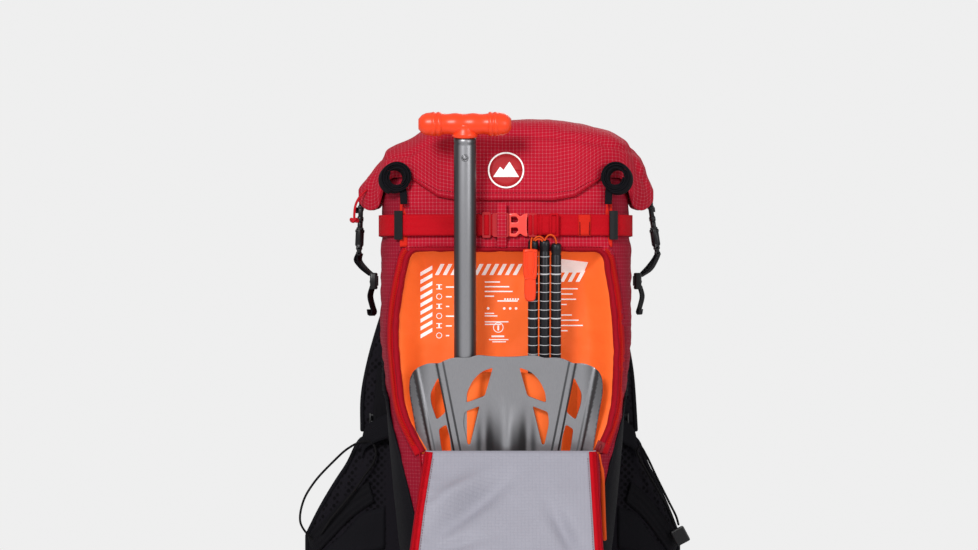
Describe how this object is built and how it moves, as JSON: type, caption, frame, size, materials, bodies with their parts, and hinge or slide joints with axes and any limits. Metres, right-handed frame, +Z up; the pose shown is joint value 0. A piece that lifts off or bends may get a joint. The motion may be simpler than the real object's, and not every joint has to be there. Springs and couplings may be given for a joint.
{
  "type": "ski touring backpack",
  "caption": "Upright red ripstop ski backpack with its front tool pocket unzipped and folded down over a shovel blade, with shovel shaft, probe, roll-top closure, harness and hip belt.",
  "frame": {"origin": "middle of the flat base panel, on the surface that the pack stands on", "axes": "+Z up, -Y out of the front pocket, +Y towards the wearer's back, +X to the right as seen from the front"},
  "size_m": [0.4832, 0.4798, 0.5937],
  "materials": {
    "ripstop_red": "coated ripstop weave with a pale grid",
    "webbing_red": "woven webbing",
    "webbing_orange": "narrow woven webbing",
    "lining_orange": "padded coated lining",
    "lining_grey": "thin ripstop lining",
    "fabric_black": "plain woven and stretch fabric",
    "mesh_black": "three-dimensional spacer mesh over foam",
    "plastic_black": "moulded acetal, satin",
    "plastic_red": "moulded acetal, coral red",
    "plastic_orange": "moulded plastic and coated cord, bright orange",
    "plastic_grey": "thin polyethylene sheet",
    "metal_grey": "hard-anodised, satin grey",
    "metal_dark": "anodised black, with pale printed rings",
    "metal_frame": "plain flat bar",
    "cord_black": "thin elastic cord",
    "cord_red": "braided accessory cord"
  },
  "bodies": {
    "pack": {"main_bag": "ripstop_red", "front_pocket": "ripstop_red", "buckle_keeper": "ripstop_red", "strap_left": "webbing_red", "strap_right": "webbing_red", "zip_tape_pocket": "webbing_red", "attachment_webbing_left": "webbing_orange", "attachment_webbing_right": "webbing_orange", "pocket_lining": "lining_orange", "base_panel": "fabric_black", "side_pocket_left": "fabric_black", "side_pocket_right": "fabric_black", "tool_loop_left": "fabric_black", "tool_loop_right": "fabric_black", "side_webbing_left": "fabric_black", "side_webbing_right": "fabric_black", "back_panel": "mesh_black", "strap_keeper_left": "plastic_black", "strap_keeper_right": "plastic_black", "side_buckle_female_left": "plastic_black", "side_buckle_female_right": "plastic_black", "side_adjuster_left": "plastic_black", "side_adjuster_right": "plastic_black", "buckle_female": "plastic_red", "ladder_lock_left": "plastic_red", "frame_sheet": "plastic_grey", "frame_stay_left": "metal_frame", "frame_stay_right": "metal_frame"},
    "strap_buckle": {"buckle_male": "plastic_red", "ladder_lock_right": "plastic_red", "strap_tail": "webbing_red"},
    "roll_top": {"roll_top": "ripstop_red", "side_buckle_male_left": "plastic_black", "side_buckle_male_right": "plastic_black", "ear_cord": "cord_red"},
    "front_flap": {"front_flap": "lining_grey", "zip_tape_flap": "webbing_red"},
    "zip_slider": {"zip_slider": "plastic_red"},
    "zip_pull": {"zip_pull": "plastic_orange"},
    "shovel_blade": {"shovel_blade": "metal_grey"},
    "shovel_shaft": {"shovel_shaft": "metal_grey", "shovel_grip": "plastic_orange"},
    "probe": {"probe_section_1": "metal_dark", "probe_section_2": "metal_dark", "probe_section_3": "metal_dark", "probe_handle": "plastic_orange"},
    "shoulder_left": {"shoulder_strap_left": "mesh_black"},
    "shoulder_right": {"shoulder_strap_right": "mesh_black"},
    "sternum_left": {"sternum_strap_left": "plastic_black"},
    "sternum_right": {"sternum_strap_right": "plastic_black"},
    "hip_left": {"hip_wing_left": "mesh_black", "hip_webbing_left": "fabric_black", "hip_buckle_male": "plastic_black", "elastic_cord_left": "cord_black"},
    "hip_right": {"hip_wing_right": "mesh_black", "hip_webbing_right": "fabric_black", "hip_buckle_female": "plastic_black", "elastic_cord_right": "cord_black", "cord_lock_right": "plastic_black"},
    "haul_loop": {"haul_loop": "fabric_black"}
  },
  "joints": [
    {"name": "flap_fold", "type": "hinge", "parent": "pack", "child": "front_flap", "pos_m": [0, -0.129, 0.2], "axis": [-1, 0, 0], "range_deg": [0, 125]},
    {"name": "zip_travel", "type": "slide", "parent": "pack", "child": "zip_slider", "axis": [0.416, 0.2, 0.8871], "range_m": [0, 0.03]},
    {"name": "zip_pull_swing", "type": "hinge", "parent": "zip_slider", "child": "zip_pull", "pos_m": [0.109, -0.128, 0.194], "axis": [0, 1, 0], "range_deg": [-30, 30]},
    {"name": "blade_draw", "type": "slide", "parent": "pack", "child": "shovel_blade", "axis": [0, -0.1564, 0.9877], "range_m": [0, 0.12]},
    {"name": "shaft_draw", "type": "slide", "parent": "pack", "child": "shovel_shaft", "axis": [0, -0.1564, 0.9877], "range_m": [0, 0.12]},
    {"name": "probe_draw", "type": "slide", "parent": "pack", "child": "probe", "axis": [0, -0.1564, 0.9877], "range_m": [0, 0.12]},
    {"name": "roll_top_fold", "type": "hinge", "parent": "pack", "child": "roll_top", "pos_m": [0, 0.084, 0.521], "axis": [-1, 0, 0], "range_deg": [0, 70]},
    {"name": "strap_buckle_release", "type": "slide", "parent": "pack", "child": "strap_buckle", "axis": [1, 0, 0], "range_m": [0, 0.02]},
    {"name": "shoulder_strap_swing_left", "type": "hinge", "parent": "pack", "child": "shoulder_left", "pos_m": [-0.068, 0.1135, 0.47], "axis": [1, 0, 0], "range_deg": [0, 35]},
    {"name": "shoulder_strap_swing_right", "type": "hinge", "parent": "pack", "child": "shoulder_right", "pos_m": [0.068, 0.1135, 0.47], "axis": [1, 0, 0], "range_deg": [0, 35]},
    {"name": "sternum_slide_left", "type": "slide", "parent": "shoulder_left", "child": "sternum_left", "axis": [0.2912, -0.0703, 0.9541], "range_m": [0, 0.03]},
    {"name": "sternum_slide_right", "type": "slide", "parent": "shoulder_right", "child": "sternum_right", "axis": [-0.2912, -0.0703, 0.9541], "range_m": [0, 0.03]},
    {"name": "hip_wing_wrap_left", "type": "hinge", "parent": "pack", "child": "hip_left", "pos_m": [-0.106, 0.113, 0.1], "axis": [0, 0, -1], "range_deg": [-8, 60]},
    {"name": "hip_wing_wrap_right", "type": "hinge", "parent": "pack", "child": "hip_right", "pos_m": [0.106, 0.113, 0.1], "axis": [0, 0, 1], "range_deg": [-8, 60]},
    {"name": "haul_loop_swing", "type": "hinge", "parent": "pack", "child": "haul_loop", "pos_m": [0, 0.091, 0.506], "axis": [1, 0, 0], "range_deg": [0, 60]}
  ]
}
